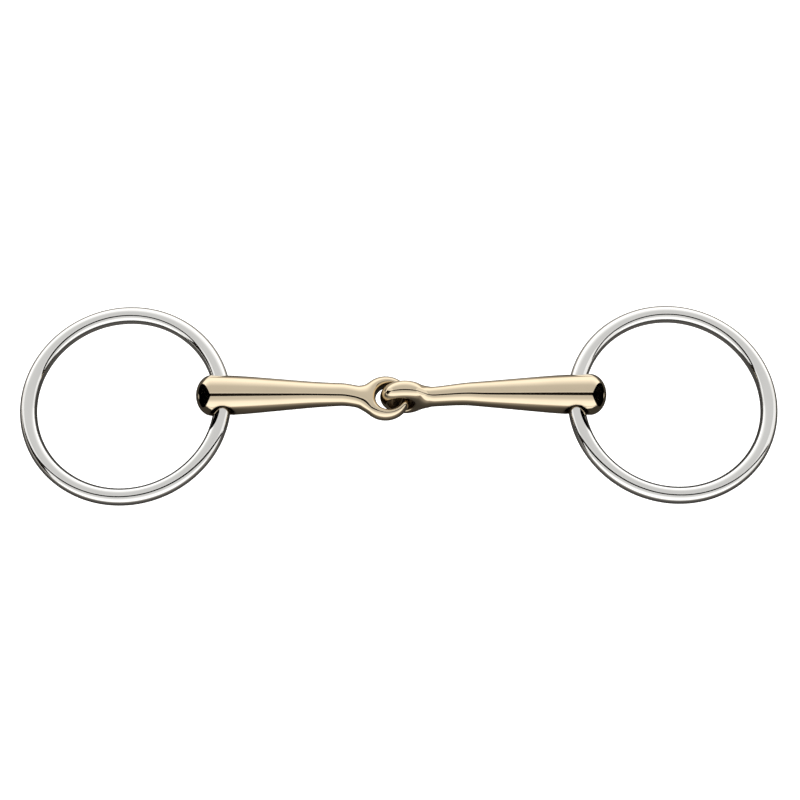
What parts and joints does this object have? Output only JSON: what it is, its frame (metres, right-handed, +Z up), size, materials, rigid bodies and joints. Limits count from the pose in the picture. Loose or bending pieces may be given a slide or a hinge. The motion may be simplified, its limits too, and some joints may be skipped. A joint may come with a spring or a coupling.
{
  "type": "snaffle bit",
  "caption": "Loose-ring snaffle bit: two tapered half-mouthpieces linked eye in eye, each with a round wire ring running through its fat outer end.",
  "frame": {"origin": "centre of the underside of the bit's box as it lies flat, on the surface it rests on", "axes": "+X along the mouthpiece from the left ring to the right ring, +Y across the rings towards the cheekpiece side, +Z up out of the surface"},
  "size_m": [0.299, 0.0836, 0.0192],
  "materials": {
    "arm_metal": "polished pale gold copper alloy",
    "ring_metal": "polished stainless steel"
  },
  "bodies": {
    "left_arm": {"left_arm": "arm_metal"},
    "right_arm": {"right_arm": "arm_metal"},
    "left_ring": {"left_ring": "ring_metal"},
    "right_ring": {"right_ring": "ring_metal"}
  },
  "joints": [
    {"name": "centre_fold", "type": "hinge", "parent": "left_arm", "child": "right_arm", "pos_m": [0.00062, 0.00148, 0.00961], "axis": [0, 1, 0], "range_deg": [-75, 75]},
    {"name": "left_ring_swing", "type": "hinge", "parent": "left_arm", "child": "left_ring", "pos_m": [-0.07, 0.00297, 0.00815], "axis": [-0.0785, 0.9969, 0], "range_deg": [-90, 90]},
    {"name": "right_ring_swing", "type": "hinge", "parent": "right_arm", "child": "right_ring", "pos_m": [0.07, 0.00297, 0.00815], "axis": [0.0785, 0.9969, 0], "range_deg": [-90, 90]}
  ]
}
